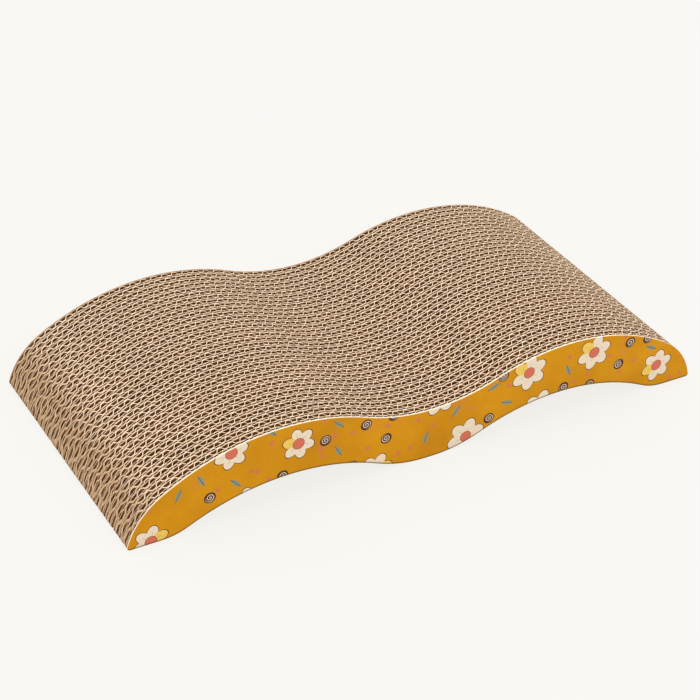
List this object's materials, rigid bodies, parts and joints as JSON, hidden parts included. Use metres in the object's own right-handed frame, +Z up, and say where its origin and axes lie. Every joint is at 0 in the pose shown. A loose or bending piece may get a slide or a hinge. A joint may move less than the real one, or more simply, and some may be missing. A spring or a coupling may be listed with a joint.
{
  "type": "cardboard cat scratcher",
  "caption": "Wavy floor scratcher for cats: upright corrugated board plies glued side by side between printed side sheets, with a dip on top and arches underneath.",
  "frame": {"origin": "centre of the footprint, on the floor", "axes": "+X along the length, +Y from the front sheet to the back sheet, +Z up"},
  "size_m": [0.44, 0.2, 0.06],
  "materials": {
    "board": "raw kraft board, cut edges",
    "printed_sheet": "matte printed paper"
  },
  "bodies": {
    "root": {"ply_01": "board", "ply_02": "board", "ply_03": "board", "ply_04": "board", "ply_05": "board", "ply_06": "board", "ply_07": "board", "ply_08": "board", "ply_09": "board", "ply_10": "board", "ply_11": "board", "ply_12": "board", "ply_13": "board", "ply_14": "board", "ply_15": "board", "ply_16": "board", "ply_17": "board", "ply_18": "board", "ply_19": "board", "ply_20": "board", "ply_21": "board", "ply_22": "board", "ply_23": "board", "ply_24": "board", "ply_25": "board", "ply_26": "board", "ply_27": "board", "ply_28": "board", "ply_29": "board", "ply_30": "board", "ply_31": "board", "ply_32": "board", "ply_33": "board", "front_panel": "printed_sheet", "back_panel": "printed_sheet"}
  },
  "joints": []
}
